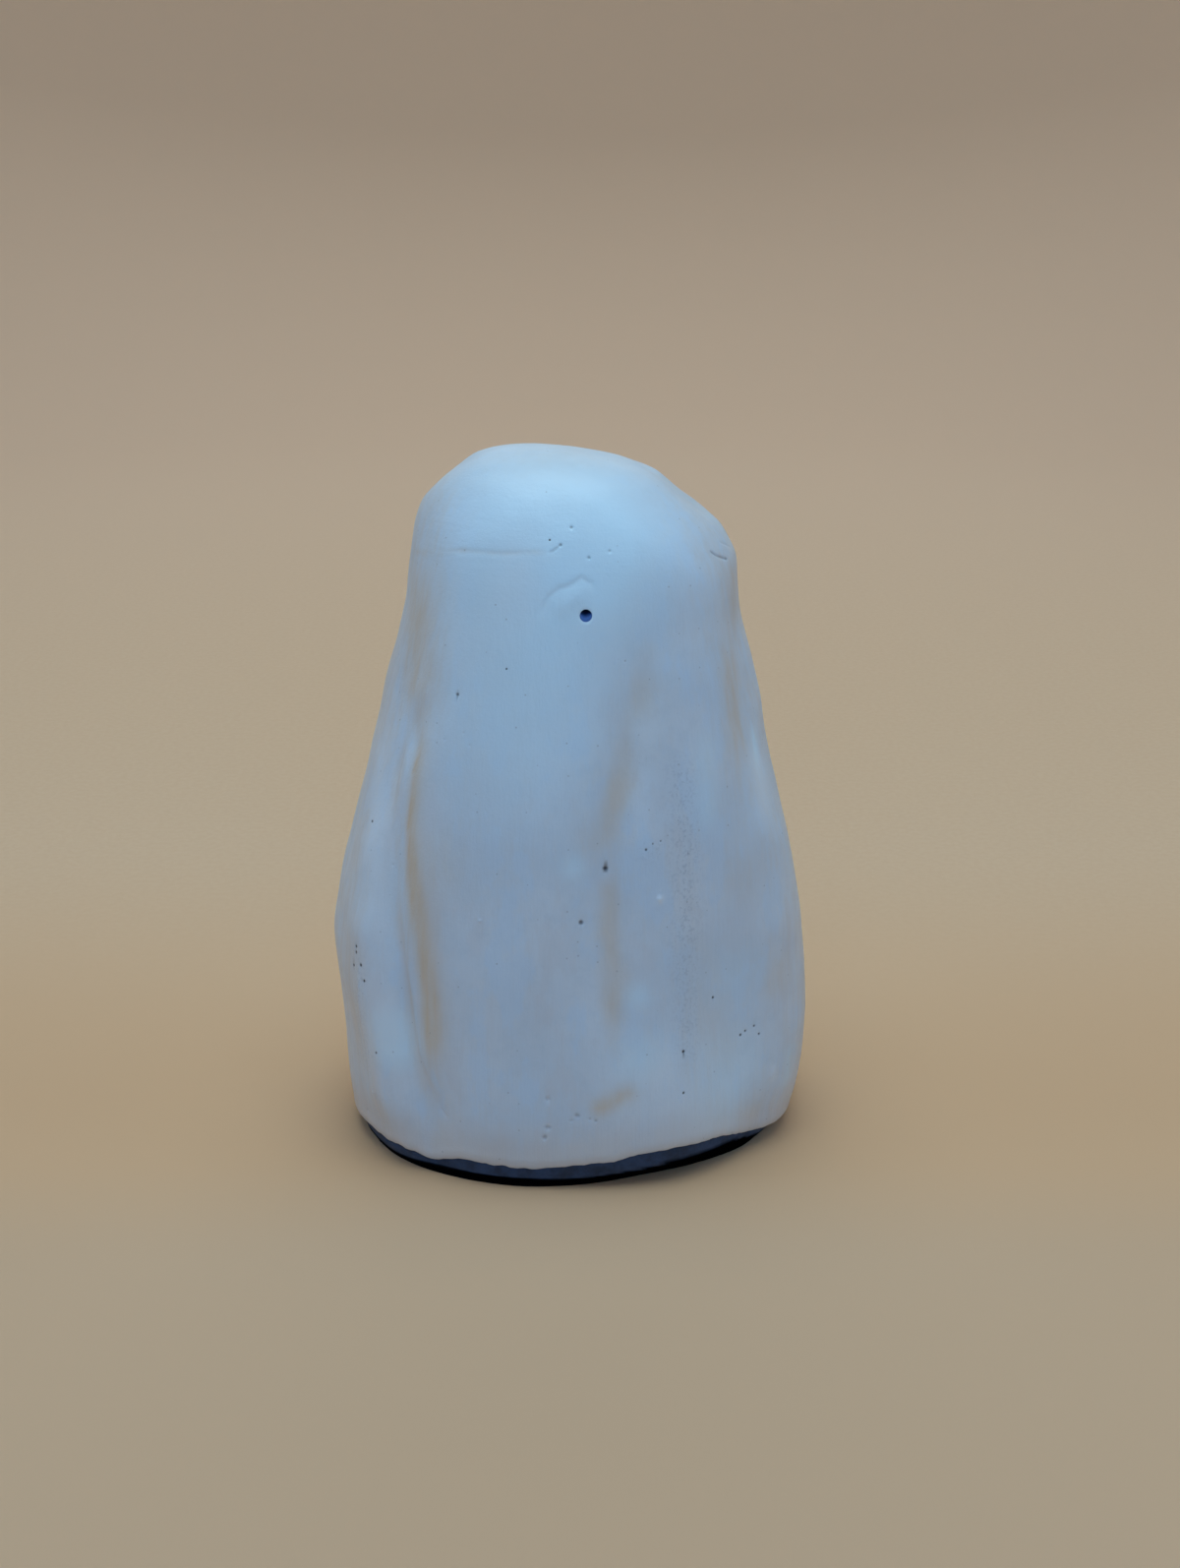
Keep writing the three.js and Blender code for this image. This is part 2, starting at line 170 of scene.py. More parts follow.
# Relief that the photograph shows: a line of pixels, or a single one where it is round, how far it stands
# out of the skin or, below 0, sinks into it, how wide it is, how long it takes to fade at its ends, all in
# millimetres, and how much of the dark clay shows in it. The two widths are those to the left and to the
# right of a line that goes down the picture.
RELIEFS = [
    {"line": [(436, 685), (423, 735), (415, 775), (411, 804), (409, 847), (411, 882),
              (415, 916), (419, 950), (423, 985), (428, 1019), (434, 1053), (442, 1088)],
     "out": -0.65, "width": (1.1, 3.2), "fade": 11},
    {"line": [(432, 702)], "out": 0.3, "width": (2.2, 2.2)},
    {"line": [(414, 760), (405, 820), (403, 880), (410, 950)], "out": 0.25, "width": (1.6, 1.0), "fade": 8},
    {"line": [(396, 920), (396, 1020), (402, 1100)], "out": 0.35, "width": (3, 2), "fade": 9},
    {"line": [(424, 561), (470, 560), (510, 563), (560, 561)], "out": -0.06, "width": (0.36, 0.36),
     "fade": 5},
    {"line": [(555, 563), (562, 560), (572, 553)], "out": -0.06, "width": (0.2, 0.2), "fade": 1, "bare": 0.2},
    {"line": [(721, 559), (729, 565), (738, 568), (750, 573)], "out": -0.14, "width": (0.2, 0.2), "fade": 0.8,
     "bare": 0.35},
    {"line": [(731, 551), (744, 556)], "out": -0.06, "width": (0.2, 0.2), "fade": 1},
    {"line": [(546, 632), (552, 619), (558, 607), (568, 599), (579, 596), (591, 588), (601, 593), (607, 607)],
     "out": -0.11, "width": (0.5, 0.4), "fade": 2.5},
    {"line": [(565, 630), (573, 616), (586, 606), (600, 612)], "out": 0.12, "width": (0.9, 0.9), "fade": 2},
    {"line": [(597, 873), (612, 845), (626, 800), (640, 750), (654, 690)],
     "out": -0.08, "width": (2.4, 1.8), "fade": 9},
    {"line": [(650, 700), (645, 760), (650, 790)], "out": 0.12, "width": (2, 2.4), "fade": 7},
    {"line": [(600, 862), (622, 876)], "out": 0.12, "width": (1, 1), "fade": 2},
    {"line": [(450, 835), (520, 845), (600, 870)], "out": 0.4, "width": (7, 7), "fade": 9},
    {"line": [(480, 1035), (560, 1050), (640, 1050)], "out": -0.5, "width": (9, 9), "fade": 12},
    {"line": [(622, 1127), (636, 1115), (650, 1104)], "out": -0.2, "width": (0.7, 0.9), "fade": 2},
    {"line": [(785, 940), (800, 975), (806, 1010)], "out": -0.35, "width": (2.2, 2.2), "fade": 5},
    {"line": [(756, 750), (764, 810), (780, 880)], "out": 0.35, "width": (1.8, 2.4), "fade": 6},
    {"line": [(491, 474), (484, 490)], "out": -0.14, "width": (0.7, 0.7), "fade": 1.5},
    {"line": [(787, 1083), (785, 1100)], "out": 0.12, "width": (0.5, 0.5), "fade": 1},
    {"line": [(446, 1123), (458, 1140)], "out": -0.1, "width": (0.3, 0.3), "fade": 1},
    {"line": [(403, 648), (400, 655)], "out": -0.4, "width": (0.8, 0.8), "fade": 1.5},
    {"line": [(412, 590), (396, 690), (377, 770)], "out": -0.42, "width": (6, 6), "fade": 6},
    {"line": [(752, 630), (766, 690), (778, 750)], "out": 0.35, "width": (6, 6), "fade": 6},
    {"line": [(598, 455)], "out": -0.2, "width": (6, 6)},
    {"line": [(668, 478)], "out": -0.4, "width": (3, 3)},
    {"line": [(724, 523)], "out": -0.5, "width": (3.5, 3.5)},
    {"line": [(660, 474), (690, 494), (728, 530)], "out": -0.5, "width": (5, 5), "fade": 5},
    {"line": [(490, 458), (462, 472), (444, 488)], "out": -0.45, "width": (4, 4), "fade": 3},
    {"line": [(434, 498), (431, 508)], "out": 0.2, "width": (1.6, 1.6), "fade": 1},
    {"line": [(416, 522)], "out": -0.45, "width": (4, 4)},
    {"line": [(735, 522)], "out": -0.35, "width": (3, 3)},
    {"line": [(372, 762)], "out": -0.25, "width": (5, 5)},
    {"line": [(366, 1154)], "out": -0.5, "width": (4, 4)},
    {"line": [(797, 1152)], "out": -0.6, "width": (4, 4)},
]
FINE_WIDTH = 0.7  # reliefs narrower than this need a finer net
CRACK_WIDTH = 0.27  # and those narrower than this the finest one

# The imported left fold: where it is eased, and where it moves across by how many millimetres.
FOLD_EASED = {"line": [(438, 650), (434, 740), (434, 850), (437, 900), (440, 950), (445, 1002), (452, 1053),
                       (458, 1090), (464, 1130)], "width": (3.6, 4.6), "fade": 6}
FOLD_MOVED = {"line": [(434, 700), (434, 850), (437, 900), (440, 950), (445, 1002), (452, 1053), (458, 1090),
                       (466, 1150)], "width": (3.6, 4.6), "fade": 12}
FOLD_MOVE = -2.8

# Where the glaze's colour is changed: thin marks are brownish where the fired glaze is thin, pale marks are
# lighter, partly thick glaze and partly painted highlight, cool marks are a painted blue sheen, rough marks
# are pitted and grey marks are painted shade, a little darker. Each mark is placed as the reliefs are, and
# has a strength.
TINTS = {
    "thin": [
        {"line": [(441, 720), (426, 745), (415, 790), (411, 844), (413, 900), (421, 950), (429, 1010),
                  (436, 1060), (441, 1100)], "width": (0.7, 2.2), "strength": 1, "fade": 9},
        {"line": [(414, 860), (423, 960), (431, 1020), (441, 1100)], "width": (1.2, 2.8), "strength": 0.6,
         "fade": 9},
        {"line": [(422, 560), (422, 640), (424, 700), (426, 745)], "width": (3.2, 4.6), "strength": 0.58,
         "fade": 8},
        {"line": [(448, 880)], "width": (5, 5), "strength": 0.3},
        {"line": [(560, 464)], "width": (8, 8), "strength": 0.25},
        {"line": [(420, 560), (430, 562), (470, 560), (510, 563), (560, 561)], "width": (0.4, 0.4),
         "strength": 0.27, "fade": 2},
        {"line": [(667, 672), (657, 748), (640, 795)], "width": (3.2, 3.2), "strength": 0.22, "fade": 4},
        {"line": [(648, 775), (630, 812), (606, 858), (590, 878)], "width": (2.6, 1.8), "strength": 0.42,
         "fade": 3.5},
        {"line": [(615, 884), (623, 915), (618, 950), (632, 993), (625, 1022), (633, 1052)],
         "width": (1.4, 1.4), "strength": 0.38, "fade": 3},
        {"line": [(652, 1102), (638, 1114), (618, 1124), (592, 1132)], "width": (1.4, 1.4), "strength": 0.95,
         "fade": 2.5},
        {"line": [(735, 640), (748, 737), (744, 790)], "width": (2.2, 2.2), "strength": 0.5, "fade": 6},
        {"line": [(741, 560), (748, 645)], "width": (1.6, 1.6), "strength": 0.45, "fade": 4},
        {"line": [(756, 894)], "width": (3.5, 3.5), "strength": 0.25},
        {"line": [(799, 960), (786, 1025)], "width": (2.6, 2.6), "strength": 0.4, "fade": 3.5},
        {"line": [(356, 930), (362, 1030), (372, 1110)], "width": (2.4, 1.8), "strength": 0.35, "fade": 8},
    ],
    # Lighter glaze: thick over a grain, and painted highlights on the lobes and ridges.
    "thick_glaze_and_painted_highlight": [
        {"line": [(394, 985), (398, 1040), (403, 1098)], "width": (2.4, 2.0), "strength": 0.7, "fade": 6},
        {"line": [(392, 720), (387, 800), (384, 900), (388, 980)], "width": (2.4, 2.0), "strength": 0.5,
         "fade": 9},
        {"line": [(764, 740), (772, 790), (784, 860)], "width": (2.4, 2.4), "strength": 0.75, "fade": 7},
        {"line": [(648, 1078), (672, 1080), (694, 1098)], "width": (3, 3), "strength": 0.45, "fade": 4},
        {"line": [(671, 914)], "width": (0.5, 0.5), "strength": 1},
        {"line": [(668, 1120)], "width": (5.5, 5.5), "strength": 0.55},
        {"line": [(787, 1081), (785, 1103)], "width": (0.5, 0.7), "strength": 0.6, "fade": 0.6},
        {"line": [(480, 590), (570, 590)], "width": (7, 7), "strength": 0.45, "fade": 5},
    ],
    # Painted blue sheen: bluer and lighter where the satin glaze would reflect blue light.
    "painted_blue_sheen": [
        {"line": [(550, 540)], "width": (13, 13), "strength": 1},
        {"line": [(620, 560)], "width": (9, 9), "strength": 0.5},
        {"line": [(540, 660)], "width": (12, 12), "strength": 0.4},
        {"line": [(520, 750)], "width": (11, 11), "strength": 0.4},
        {"line": [(742, 1095)], "width": (7, 7), "strength": 0.5},
        {"line": [(745, 990)], "width": (5, 9), "strength": 0.2},
        {"line": [(386, 900)], "width": (5, 9), "strength": 0.2},
        {"line": [(396, 1010), (404, 1100)], "width": (3, 3), "strength": 1, "fade": 5},
        {"line": [(583, 883)], "width": (1.6, 1.6), "strength": 0.5},
        {"line": [(648, 1013)], "width": (1.7, 1.7), "strength": 0.5},
        {"line": [(655, 1080)], "width": (3.4, 3.4), "strength": 0.6},
        {"line": [(716, 730), (720, 860)], "width": (1.7, 1.7), "strength": 0.4, "fade": 5},
        {"line": [(764, 728), (772, 795)], "width": (1, 1), "strength": 0.8, "fade": 3},
        {"line": [(803, 1055), (799, 1110)], "width": (0.9, 0.9), "strength": 0.6, "fade": 2.5},
    ],
    "rough": [
        {"line": [(690, 750), (697, 860), (698, 960), (702, 1100)], "width": (2, 2), "strength": 1,
         "fade": 6},
        {"line": [(366, 950), (364, 1010), (376, 1110)], "width": (1.6, 1.6), "strength": 0.8, "fade": 6},
        {"line": [(650, 850), (672, 880)], "width": (1.6, 1.6), "strength": 0.8, "fade": 3},
    ],
    # Painted shade, a little darker: on the crown and along shallow valleys of the back.
    "painted_shade": [
        {"line": [(580, 468)], "width": (9, 9), "strength": 0.45},
        {"line": [(495, 492), (560, 480), (630, 492)], "width": (4.5, 4.5), "strength": 0.5, "fade": 5},
        {"line": [(690, 930), (697, 1030), (702, 1110)], "width": (2.4, 2.4), "strength": 0.4, "fade": 8},
        {"line": [(676, 700), (680, 790), (684, 860)], "width": (2.4, 2.4), "strength": 0.35, "fade": 8},
        {"line": [(445, 820), (470, 860), (480, 930)], "width": (5, 5), "strength": 0.4, "fade": 9},
    ],
}

# Pinholes in the glaze, by their radius in millimetres and how dark they are, and grains stuck under it.
PINHOLES = [
    (0.36, 1, [(616, 883)]),
    (0.32, 0.9, [(591, 938)]),
    (0.24, 0.8, [(465, 706)]),
    (0.34, 0.5, [(557, 1147), (557, 1118), (554, 1157), (587, 1135)]),
    (0.22, 1, [(695, 1069), (362, 962), (362, 968), (360, 981), (367, 981), (371, 997)]),
    (0.21, 0.4, [(581, 536), (570, 554), (599, 567)]),
    (0.17, 1, [(379, 835), (401, 879), (657, 864), (383, 1070), (379, 1107), (381, 1116), (388, 1118),
               (373, 1129), (695, 1111), (725, 1014), (767, 1043), (772, 1051), (753, 1052), (758, 1048)]),
    (0.2, 0.5, [(404, 666), (620, 560), (600, 1138), (606, 1140), (581, 1140)]),
    (0.13, 1, [(452, 752), (471, 745), (477, 758), (636, 672), (515, 680), (559, 549), (672, 855),
               (664, 858)]),
]
GRAINS = [(0.32, [(671, 914)]), (0.2, [(488, 936), (366, 1003), (378, 1111)])]

# The lower edge of the glaze, wiped back from the foot: pixels along the back, and for the other sides
# degrees round from +X with the height in millimetres. Its ragged waves are given by how closely they follow
# each other and how high they are.
GLAZE_EDGE_SEEN = [
    (373, 1141), (382, 1152), (392, 1161), (405, 1165), (411, 1169), (424, 1172), (432, 1177), (441, 1180),
    (450, 1179), (469, 1178), (484, 1182), (492, 1183), (501, 1186), (511, 1185), (522, 1188), (543, 1189),
    (560, 1188), (592, 1185), (624, 1182), (652, 1174), (688, 1167), (728, 1157), (735, 1155), (746, 1154),
    (765, 1152),
]
GLAZE_EDGE_UNSEEN = [
    (-14, 0.9), (2, 0.7), (25, 0.8), (42, 1.5), (58, 1.9), (72, 2.2), (90, 2.0), (106, 1.5), (124, 0.9),
    (146, 0.7), (168, 0.8), (180, 1.1),
]
RAGGED_WAVES = [(22, 0.16), (60, 0.09)]

# The foot's edge on the ground: pixels along the back, with the height in millimetres up to which its
# lowest edge is painted black, as shadow, there.
FOOT_EDGE_SEEN = [
    (371, 1139, 0.5), (381, 1152, 0.8), (393, 1167, 1), (417, 1182, 1.15), (450, 1193, 1.15),
    (487, 1201, 1.2), (527, 1206, 1.2), (557, 1206, 1.15), (593, 1204, 1.15), (627, 1199, 1.7),
    (660, 1192, 2.6), (693, 1186, 3.1), (723, 1177, 3), (750, 1168, 2.4), (766, 1157, 1.2), (774, 1144, 0.8),
]


def solid_of(name):
    """A CAD node's shape for casting rays on, from a merged copy of its mesh."""
    shape = bmesh.new()
    shape.from_mesh(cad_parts[name].data)
    bmesh.ops.remove_doubles(shape, verts=shape.verts, dist=1e-6)
    solid = BVHTree.FromBMesh(shape)
    shape.free()
    return solid


def surface_of(mesh):
    """A mesh's shape for casting rays on."""
    shape = bmesh.new()
    shape.from_mesh(mesh)
    surface = BVHTree.FromBMesh(shape)
    shape.free()
    return surface


packed_coat = solid_of("glaze_coat")
packed_base = solid_of("base_slab")


def azimuth(place):
    return atan2(place.y, place.x)


def heading(angle):
    return Vector((cos(angle), sin(angle), 0))


def outer_hit(surface, middle, out):
    """Where a ray from outside towards middle meets a surface that faces it, or None at an opening."""
    hit, normal, _, distance = surface.ray_cast(middle + out * FAR, -out)
    return hit if hit is not None and distance < FAR and normal.dot(out) > LEAST_FACING else None


def inward_hit(surface, angle, height):
    return outer_hit(surface, Vector((0, 0, max(height, HAIR))), heading(angle))


def packed_outline(angle, height):
    if height > LOWEST_CAST:
        return inward_hit(packed_coat, angle, height)
    hit = inward_hit(packed_base, angle, height)
    return Vector((hit.x, hit.y, height)) + heading(angle) * COAT_OVER_BASE


def crowded(direction):
    """A direction of the dome's cage, turned towards the back as far as the walls' columns are."""
    level = Vector((direction.x, direction.y, 0)).length
    turn = azimuth(direction)
    turn -= BACKWARD * cos(turn) * level
    return heading(turn) * level + Vector((0, 0, direction.z))


def relax(net, verts, rounds):
    """Evens out part of a net: in each round its points go halfway to the middle of their neighbours."""
    axes = {"use_axis_x": True, "use_axis_y": True, "use_axis_z": True}
    for _ in range(rounds):
        bmesh.ops.smooth_vert(net, verts=verts, factor=0.5, **axes)


def pull_down(net, ring, heights, placed):
    """Extrudes a ring of edges down, a row for each height; placed gets each new vertex and its height."""
    for height in heights:
        made = bmesh.ops.extrude_edge_only(net, edges=ring)["geom"]
        ring = [g for g in made if isinstance(g, bmesh.types.BMEdge) and g.is_boundary]
        for v in [g for g in made if isinstance(g, bmesh.types.BMVert)]:
            placed(v, height)
    return ring


def skin_cage():
    """A coarse net over the whole outline: half a cube rounded to a dome, and walls pulled down from it."""
    net = bmesh.new()
    bmesh.ops.create_cube(net, size=2)
    bmesh.ops.subdivide_edges(net, edges=net.edges[:], cuts=DOME_SIDE - 1, use_grid_fill=True)
    below = [v for v in net.verts if v.co.z < -0.5 / DOME_SIDE]
    bmesh.ops.delete(net, geom=below, context="VERTS")
    over_openings = []

    def settle(v, hit, otherwise):
        if hit is None:
            over_openings.append(v)
        v.co = hit or otherwise

    dome_middle = Vector((0, 0, DOME_HEIGHT))
    for v in net.verts:
        out = crowded(Vector([tan(c * pi / 4) for c in v.co]).normalized())
        settle(v, outer_hit(packed_coat, dome_middle, out), dome_middle + out * HEAD_RADIUS)

    def place(v, height):
        settle(v, packed_outline(azimuth(v.co), height), Vector((v.co.x, v.co.y, height)))

    step = (DOME_HEIGHT - FOOT_ROWS[0]) / WALL_ROWS
    heights = [DOME_HEIGHT - step * (row + 1) for row in range(WALL_ROWS - 1)] + FOOT_ROWS
    pull_down(net, [e for e in net.edges if e.is_boundary], heights, place)
    relax(net, over_openings, OPENING_ROUNDS)
    cage = bpy.data.meshes.new("skin cage")
    net.to_mesh(cage)
    net.free()
    return cage


def finer(mesh, levels):
    """The mesh after some rounds of smooth subdivision."""
    holder = bpy.data.objects.new("holder", mesh)
    bpy.context.scene.collection.objects.link(holder)
    rounds = holder.modifiers.new("rounds", "SUBSURF")
    rounds.levels = rounds.render_levels = levels
    shape = holder.evaluated_get(bpy.context.evaluated_depsgraph_get())
    fine = bpy.data.meshes.new_from_object(shape)
    bpy.data.objects.remove(holder)
    return fine


def bell(distance):
    """1 at 0, falling smoothly to almost 0 at 2."""
    return np.exp(-(distance**2))


def fade_in(length):
    """0 up to 0, 1 from 1, smooth in between."""
    share = np.clip(length, 0, 1)
    return share * share * (3 - 2 * share)


class Points:
    """A mesh's points and normals as arrays, to move them by formulas and give them masks."""

    def __init__(self, mesh):
        self.mesh = mesh
        count = len(mesh.vertices)
        self.place = np.empty(count * 3)
        mesh.vertices.foreach_get("co", self.place)
        self.place = self.place.reshape(-1, 3)
        self.normal = np.array([v.normal for v in mesh.vertices])

    def move_out(self, distance):
        self.place += self.normal * distance[:, None]
        self.mesh.vertices.foreach_set("co", self.place.ravel())
        self.mesh.update()

    def keep_within(self, low, high):
        """Holds the points inside a box, a hair from its sides."""
        self.place = np.clip(self.place, np.array(low) + HAIR, np.array(high) - HAIR)
        self.mesh.vertices.foreach_set("co", self.place.ravel())
        self.mesh.update()

    def mask(self, name, values):
        layer = self.mesh.attributes.new(name, "FLOAT", "POINT")
        layer.data.foreach_set("value", np.clip(values, 0, 1))

    def from_line(self, line):
        """How far each point is from a line, how far along it that is, the line's length, and whether the
        point is on the left of a line that goes down the picture."""
        line = np.array(line)
        nearest = np.full(len(self.place), np.inf)
        along = np.zeros(len(self.place))
        left = np.zeros(len(self.place), bool)
        length = 0.0
        for start, end in zip(line, line[1:]):
            step = end - start
            size = np.linalg.norm(step)
            share = np.clip((self.place - start) @ step / size**2, 0, 1)
            offset = self.place - start - share[:, None] * step
            distance = np.linalg.norm(offset, axis=1)
            closer = distance < nearest
            nearest[closer] = distance[closer]
            along[closer] = (length + share * size)[closer]
            side = np.einsum("ij,ij->i", offset, np.cross(step, self.normal))
            left[closer] = side[closer] > 0
            length += size
        return nearest, along, length, left

    def along_mark(self, mark):
        """1 in the middle of a relief or a tint, 0 away from it."""
        if len(mark["line"]) == 1:
            return self.round_spot(mark["line"][0], mark["width"][0] * MM)
        distance, along, length, left = self.from_line(mark["line"])
        fade = mark["fade"] * MM
        ends = fade_in(along / fade) * fade_in((length - along) / fade)
        width = np.where(left, mark["width"][0], mark["width"][1]) * MM
        return bell(distance / width) * ends

    def round_spot(self, middle, radius):
        return bell(np.linalg.norm(self.place - np.array(middle), axis=1) / radius)

    def disc(self, middle, radius):
        """1 on most of a round spot, 0 beyond its rim."""
        distance = np.linalg.norm(self.place - np.array(middle), axis=1)
        return np.clip((1 - distance / radius) * 2.5, 0, 1)

    def waves(self, length, seed, stretch):
        """Smooth noise from -1 to 1 at each point, with waves of about length, drawn out up and down."""
        size = np.array([1, 1, 1 / stretch]) / length
        start = Vector((seed, seed, seed))
        return np.array([noise.noise(Vector(place * size) + start) for place in self.place])


def push_out(cage, rounds=3):
    """Moves the cage until the smooth skin passes through the places that it was cast on."""
    cast = [v.co.copy() for v in cage.vertices]
    for _ in range(rounds):
        smooth = finer(cage, 2)
        for v, place in zip(cage.vertices, cast):
            v.co += place - smooth.vertices[v.index].co


def sight(pixel):
    """The direction in which the camera sees a pixel."""
    across, down = pixel
    focal = LENS / SENSOR * PICTURE_HEIGHT
    ray = LINE_OF_SIGHT * focal + PICTURE_UP * (PICTURE_HEIGHT / 2 - down)
    return (ray + Vector((across - PICTURE_WIDTH / 2, 0, 0))).normalized()


def seen(surface, pixel):
    """The place on a surface that the photograph shows at a pixel, or the nearest one at the outline."""
    ray = sight(pixel)
    hit = surface.ray_cast(CAMERA_PLACE, ray)[0]
    return hit or surface.find_nearest(CAMERA_PLACE + ray * CAMERA_DISTANCE)[0]


def on_ground(pixel):
    """The place on the ground that the photograph shows at a pixel."""
    ray = sight(pixel)
    return CAMERA_PLACE - ray * (CAMERA_PLACE.z / ray.z)


def ease(cage, shares, rounds):
    """Draws each point towards the middle of its neighbours by its share."""
    net = bmesh.new()
    net.from_mesh(cage)

    def middle_round(v):
        return sum((e.other_vert(v).co for e in v.link_edges), Vector()) / len(v.link_edges)

    for _ in range(rounds):
        middles = [middle_round(v) for v in net.verts]
        for v, middle, share in zip(net.verts, middles, shares):
            v.co = v.co.lerp(middle, 0.5 * float(share))
    net.to_mesh(cage)
    net.free()


def ease_shoulder(cage):
    """Spreads the bend under the crown over more of the back, as the photograph's even light shows it."""
    points = Points(cage)
    facing = np.clip(-points.place[:, 1] / BACK_FADE, 0, 1)
    beyond = (points.place[:, 2] - SHOULDER_HEIGHT) / MM
    ease(cage, facing * bell(beyond / np.where(beyond > 0, *SHOULDER_REACH)), SHOULDER_ROUNDS)


def shape_fold(cage):
    """Softens the deep left fold and moves it to where the photograph shows it."""

    def along(fold):
        return Points(cage).along_mark(dict(fold, line=[seen(packed_coat, pixel) for pixel in fold["line"]]))

    moved = along(FOLD_MOVED) * FOLD_MOVE * MM
    ease(cage, along(FOLD_EASED), FOLD_ROUNDS)
    points = Points(cage)
    points.place[:, 0] += moved
    cage.vertices.foreach_set("co", points.place.ravel())


cage = skin_cage()
ease_shoulder(cage)
shape_fold(cage)
push_out(cage)
skin_mesh = finer(cage, 2)
skin = surface_of(finer(cage, 3))


def on_skin(pixel):
    return seen(skin, pixel)


def skin_at(angle, height):
    return inward_hit(skin, angle, height)


def on_line(mark):
    """A mark with places on the skin in its pixels' stead."""
    return dict(mark, line=[on_skin(pixel) for pixel in mark["line"]])


# Where the marks lie on the skin.
reliefs = [on_line(relief) for relief in RELIEFS]
tints = {name: [on_line(mark) for mark in marks] for name, marks in TINTS.items()}
pinholes = [
    (radius * MM, darkness, on_skin(pixel)) for radius, darkness, pixels in PINHOLES for pixel in pixels
]
grains = [(radius * MM, on_skin(pixel)) for radius, pixels in GRAINS for pixel in pixels]


class Opening:
    """An oval hole through the glaze; side is -1 for the back and 1 for the face."""

    def __init__(self, across, height, radii, side, rim):
        start = Vector((across, side * FAR, height))
        self.middle = skin.ray_cast(start, Vector((0, -side, 0)))[0]
        self.radii = radii
        self.rim_width, self.rim_drop = rim

    def offset(self, place):
        return place.x - self.middle.x, place.z - self.middle.z

    def reach(self, place):
        """1 on the rim, less inside it, and large on the far side of the ghost."""
        if (place - self.middle).length > 4 * max(self.radii):
            return FAR / MM
        across, up = self.offset(place)
        return sqrt((across / self.radii[0]) ** 2 + (up / self.radii[1]) ** 2)

    def on_rim(self, place):
        across, up = self.offset(place)
        share = 1 / self.reach(place)
        rim = Vector((self.middle.x + across * share, place.y, self.middle.z + up * share))
        return skin.find_nearest(rim)[0]


vent = Opening(VENT_ACROSS, VENT_HEIGHT, (VENT_RADIUS, VENT_RADIUS), -1, VENT_RIM)
left_eye = Opening(FACE_MIDDLE - EYE_SPACING / 2, EYE_HEIGHT, EYE_RADII, 1, FACE_RIM)
right_eye = Opening(FACE_MIDDLE + EYE_SPACING / 2, EYE_HEIGHT, EYE_RADII, 1, FACE_RIM)
mouth = Opening(FACE_MIDDLE, MOUTH_HEIGHT, MOUTH_RADII, 1, FACE_RIM)
face = [left_eye, right_eye, mouth]
openings = [vent, *face]


def refine(net, near):
    """Divides the faces whose middles are near something."""
    wanted = {e for f in net.faces if near(f.calc_center_median()) for e in f.edges}
    edges = [e for e in net.edges if e in wanted]
    made = bmesh.ops.subdivide_edges(net, edges=edges, cuts=1, use_grid_fill=True)
    for v in {g for g in made["geom_inner"] + made["geom_split"] if isinstance(g, bmesh.types.BMVert)}:
        v.co = skin.find_nearest(v.co)[0]
    bmesh.ops.triangulate(net, faces=[f for f in net.faces if len(f.verts) > 4])


def nearness(places):
    """A test of whether a place is nearer to one of these than a distance."""
    tree = KDTree(len(places))
    for index, place in enumerate(places):
        tree.insert(place, index)
    tree.balance()
    return lambda distance: lambda place: tree.find(place)[2] < distance


def spread(line, step=0.4 * MM):
    """Places at even steps along a line."""
    places = []
    for start, end in zip(line, line[1:]):
        count = max(1, round((end - start).length / step))
        places += [start.lerp(end, i / count) for i in range(count + 1)]
    return places


def narrower_than(width):
    """Places along the reliefs that are narrower than this many millimetres."""
    lines = [relief["line"] for relief in reliefs if max(relief["width"]) < width]
    return [place for line in lines for place in spread(line)]


def add_detail_to(net):
    """Finer faces round the cracks, the pinholes and the openings."""
    by_lines = nearness(narrower_than(FINE_WIDTH))
    by_cracks = nearness(narrower_than(CRACK_WIDTH))
    by_spots = nearness([spot[-1] for spot in pinholes + grains])
    for near, distances in ((by_lines, (0.65, 0.4)), (by_cracks, (0.25,)), (by_spots, (0.62, 0.4, 0.27))):
        for distance in distances:
            refine(net, near(distance * MM))
    for reach in (2.6, 2.0, 1.5):
        refine(net, lambda place: vent.reach(place) < reach)
    for reach in (1.25, 1.12):
        refine(net, lambda place: any(0.7 < hole.reach(place) < reach for hole in face))


def cut_out(net, hole):
    """Opens a hole, moves its rim onto the oval and evens out the net around it."""
    inside = [f for f in net.faces if hole.reach(f.calc_center_median()) < 1]
    bmesh.ops.delete(net, geom=inside, context="FACES")
    rim = [v for v in net.verts if v.is_boundary and hole.reach(v.co) < RIM_REACH]
    for v in rim:
        v.co = hole.on_rim(v.co)
    around = [v for v in net.verts if not v.is_boundary and hole.reach(v.co) < RIM_EASED]
    relax(net, around, RIM_ROUNDS)


def glaze_edge_height():
    """The height of the glaze's lower edge, by angle."""
    places = [on_skin(pixel) for pixel in GLAZE_EDGE_SEEN]
    marks = [(degrees(azimuth(place)), place.z) for place in places]
    marks += [(angle, height * MM) for angle, height in GLAZE_EDGE_UNSEEN]
    marks.sort()
    angles = [angle for angle, _ in marks]
    heights = [height for _, height in marks]

    def height_at(angle):
        ragged = sum(noise.noise(heading(angle) * close) * high for close, high in RAGGED_WAVES)
        return float(np.interp(degrees(angle), angles, heights, period=360)) + ragged * MM

    return height_at


edge_height = glaze_edge_height()


def draw_up_edge(net):
    """Ends the net at the glaze's lower edge."""
    for v in net.verts:
        if v.co.z < EDGE_ZONE:
            angle = azimuth(v.co)
            lowest = edge_height(angle)
            height = lowest + v.co.z * (EDGE_ZONE - lowest) / EDGE_ZONE
            v.co = skin_at(angle, height)


